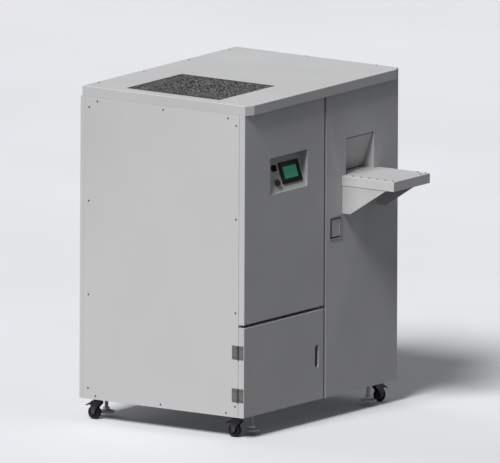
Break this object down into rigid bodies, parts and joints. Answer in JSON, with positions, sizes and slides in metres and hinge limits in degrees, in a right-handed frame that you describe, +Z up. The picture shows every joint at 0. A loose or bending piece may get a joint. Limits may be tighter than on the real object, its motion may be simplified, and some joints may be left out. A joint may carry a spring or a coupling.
{
  "type": "reflow oven",
  "caption": "Floor-standing reflow oven: sheet-metal cabinet with console, hinged doors, loading mouth with flap and tray, vent, casters and levelling feet.",
  "frame": {"origin": "on the floor, in the middle of the machine's footprint", "axes": "+Z up, the front with the doors and the tray towards -Y, +X to the right of a person who faces the front"},
  "size_m": [1.0926, 1.053, 1.359],
  "materials": {
    "cabinet_paint": "satin powder coat",
    "black_plastic": "matte",
    "button_plastic": "satin",
    "screen_green": "gloss",
    "hinge_steel": "satin",
    "zinc_steel": "zinc plated",
    "wheel_rubber": "matte",
    "pedal_plastic": "matte",
    "latch_metal": "satin",
    "stainless": "brushed",
    "motor_enamel": "gloss enamel",
    "plate_aluminium": "satin"
  },
  "bodies": {
    "cabinet": {"base_frame": "cabinet_paint", "corner_post_front_left": "cabinet_paint", "corner_post_front_right": "cabinet_paint", "corner_post_rear_left": "cabinet_paint", "corner_post_rear_right": "cabinet_paint", "centre_partition": "cabinet_paint", "left_side_panel": "cabinet_paint", "right_side_panel": "cabinet_paint", "rear_panel": "cabinet_paint", "power_inlet": "black_plastic", "top_cover": "cabinet_paint", "vent_grille": "cabinet_paint", "upper_front_panel": "cabinet_paint", "console_box": "cabinet_paint", "display_housing": "black_plastic", "display_screen": "screen_green", "lower_door_hinge_lower_fixed": "hinge_steel", "lower_door_hinge_upper_fixed": "hinge_steel", "main_door_hinge_lower_fixed": "hinge_steel", "main_door_hinge_upper_fixed": "hinge_steel", "oven_chamber": "stainless", "board_rack": "stainless", "heater_element": "stainless", "blower_motor": "motor_enamel", "fan_frame": "black_plastic", "electrical_plate": "plate_aluminium"},
    "lower_door": {"lower_door": "cabinet_paint", "lower_door_hinge_lower_moving": "hinge_steel", "lower_door_hinge_upper_moving": "hinge_steel"},
    "main_door": {"main_door": "cabinet_paint", "latch_frame": "latch_metal", "loading_pocket": "cabinet_paint", "loading_tray": "cabinet_paint", "tray_bracket_left": "cabinet_paint", "tray_bracket_right": "cabinet_paint", "main_door_hinge_lower_moving": "hinge_steel", "main_door_hinge_upper_moving": "hinge_steel"},
    "loading_flap": {"loading_flap": "cabinet_paint"},
    "latch_paddle": {"latch_paddle": "latch_metal"},
    "latch_bolt": {"latch_bolt": "latch_metal"},
    "selector_switch": {"selector_switch": "black_plastic"},
    "start_button": {"start_button": "button_plastic"},
    "blower_impeller": {"blower_impeller": "stainless"},
    "fan_rotor": {"fan_rotor": "black_plastic"},
    "caster_front_left_swivel": {"caster_front_left_fork": "zinc_steel"},
    "caster_front_left_wheel": {"caster_front_left_wheel": "wheel_rubber"},
    "caster_front_left_pedal": {"caster_front_left_pedal": "pedal_plastic"},
    "foot_front_left": {"foot_front_left": "zinc_steel"},
    "caster_front_right_swivel": {"caster_front_right_fork": "zinc_steel"},
    "caster_front_right_wheel": {"caster_front_right_wheel": "wheel_rubber"},
    "caster_front_right_pedal": {"caster_front_right_pedal": "pedal_plastic"},
    "foot_front_right": {"foot_front_right": "zinc_steel"},
    "caster_rear_left_swivel": {"caster_rear_left_fork": "zinc_steel"},
    "caster_rear_left_wheel": {"caster_rear_left_wheel": "wheel_rubber"},
    "caster_rear_left_pedal": {"caster_rear_left_pedal": "pedal_plastic"},
    "foot_rear_left": {"foot_rear_left": "zinc_steel"},
    "caster_rear_right_swivel": {"caster_rear_right_fork": "zinc_steel"},
    "caster_rear_right_wheel": {"caster_rear_right_wheel": "wheel_rubber"},
    "caster_rear_right_pedal": {"caster_rear_right_pedal": "pedal_plastic"},
    "foot_rear_right": {"foot_rear_right": "zinc_steel"}
  },
  "joints": [
    {"name": "lower_door_swing", "type": "hinge", "parent": "cabinet", "child": "lower_door", "pos_m": [-0.5423, -0.246, 0.268], "axis": [0, 0, 1], "range_deg": [-115, 0]},
    {"name": "main_door_swing", "type": "hinge", "parent": "cabinet", "child": "main_door", "pos_m": [0.5423, -0.246, 0.716], "axis": [0, 0, 1], "range_deg": [0, 115]},
    {"name": "flap_swing", "type": "hinge", "parent": "main_door", "child": "loading_flap", "pos_m": [0.2705, -0.2644, 1.131], "axis": [1, 0, 0], "range_deg": [0, 60]},
    {"name": "paddle_pull", "type": "hinge", "parent": "main_door", "child": "latch_paddle", "pos_m": [0.1325, -0.2705, 0.7705], "axis": [0, 0, 1], "range_deg": [0, 35], "stiffness_Nm_per_rad": 0.6},
    {"name": "bolt_slide", "type": "slide", "parent": "main_door", "child": "latch_bolt", "axis": [1, 0, 0], "range_m": [0, 0.009]},
    {"name": "selector_turn", "type": "hinge", "parent": "cabinet", "child": "selector_switch", "pos_m": [-0.288, -0.23733, 1.06502], "axis": [0, -0.9512, 0.3085], "range_deg": [-45, 45]},
    {"name": "button_press", "type": "slide", "parent": "cabinet", "child": "start_button", "axis": [0, 0.9512, -0.3085], "range_m": [0, 0.004], "stiffness_N_per_m": 800},
    {"name": "impeller_spin", "type": "hinge", "parent": "cabinet", "child": "blower_impeller", "pos_m": [0.286, 0.1065, 1.189], "axis": [0, 0, 1], "continuous": true},
    {"name": "fan_spin", "type": "hinge", "parent": "cabinet", "child": "fan_rotor", "pos_m": [-0.282, 0.1185, 1.329], "axis": [0, 0, 1], "continuous": true},
    {"name": "caster_front_left_turn", "type": "hinge", "parent": "cabinet", "child": "caster_front_left_swivel", "pos_m": [-0.486, -0.2105, 0.08], "axis": [0, 0, 1], "continuous": true},
    {"name": "caster_front_left_roll", "type": "hinge", "parent": "caster_front_left_swivel", "child": "caster_front_left_wheel", "pos_m": [-0.486, -0.1945, 0.027], "axis": [1, 0, 0], "continuous": true},
    {"name": "caster_front_left_brake", "type": "hinge", "parent": "caster_front_left_swivel", "child": "caster_front_left_pedal", "pos_m": [-0.486, -0.1885, 0.061], "axis": [1, 0, 0], "range_deg": [0, 18]},
    {"name": "foot_front_left_screw", "type": "slide", "parent": "cabinet", "child": "foot_front_left", "axis": [0, 0, 1], "range_m": [-0.016, 0.02]},
    {"name": "caster_front_right_turn", "type": "hinge", "parent": "cabinet", "child": "caster_front_right_swivel", "pos_m": [0.486, -0.2105, 0.08], "axis": [0, 0, 1], "continuous": true},
    {"name": "caster_front_right_roll", "type": "hinge", "parent": "caster_front_right_swivel", "child": "caster_front_right_wheel", "pos_m": [0.50176, -0.21328, 0.027], "axis": [-0.1736, -0.9848, 0], "continuous": true},
    {"name": "caster_front_right_brake", "type": "hinge", "parent": "caster_front_right_swivel", "child": "caster_front_right_pedal", "pos_m": [0.50767, -0.21432, 0.061], "axis": [-0.1736, -0.9848, 0], "range_deg": [0, 18]},
    {"name": "foot_front_right_screw", "type": "slide", "parent": "cabinet", "child": "foot_front_right", "axis": [0, 0, 1], "range_m": [-0.016, 0.02]},
    {"name": "caster_rear_left_turn", "type": "hinge", "parent": "cabinet", "child": "caster_rear_left_swivel", "pos_m": [-0.486, 0.4715, 0.08], "axis": [0, 0, 1], "continuous": true},
    {"name": "caster_rear_left_roll", "type": "hinge", "parent": "caster_rear_left_swivel", "child": "caster_rear_left_wheel", "pos_m": [-0.486, 0.4875, 0.027], "axis": [1, 0, 0], "continuous": true},
    {"name": "caster_rear_left_brake", "type": "hinge", "parent": "caster_rear_left_swivel", "child": "caster_rear_left_pedal", "pos_m": [-0.486, 0.4935, 0.061], "axis": [1, 0, 0], "range_deg": [0, 18]},
    {"name": "foot_rear_left_screw", "type": "slide", "parent": "cabinet", "child": "foot_rear_left", "axis": [0, 0, 1], "range_m": [-0.016, 0.02]},
    {"name": "caster_rear_right_turn", "type": "hinge", "parent": "cabinet", "child": "caster_rear_right_swivel", "pos_m": [0.486, 0.4715, 0.08], "axis": [0, 0, 1], "continuous": true},
    {"name": "caster_rear_right_roll", "type": "hinge", "parent": "caster_rear_right_swivel", "child": "caster_rear_right_wheel", "pos_m": [0.494, 0.48536, 0.027], "axis": [0.866, -0.5, 0], "continuous": true},
    {"name": "caster_rear_right_brake", "type": "hinge", "parent": "caster_rear_right_swivel", "child": "caster_rear_right_pedal", "pos_m": [0.497, 0.49055, 0.061], "axis": [0.866, -0.5, 0], "range_deg": [0, 18]},
    {"name": "foot_rear_right_screw", "type": "slide", "parent": "cabinet", "child": "foot_rear_right", "axis": [0, 0, 1], "range_m": [-0.016, 0.02]}
  ],
  "couplings": [
    {"joint": "bolt_slide", "follows": "paddle_pull", "m_per_rad": 0.01473}
  ]
}
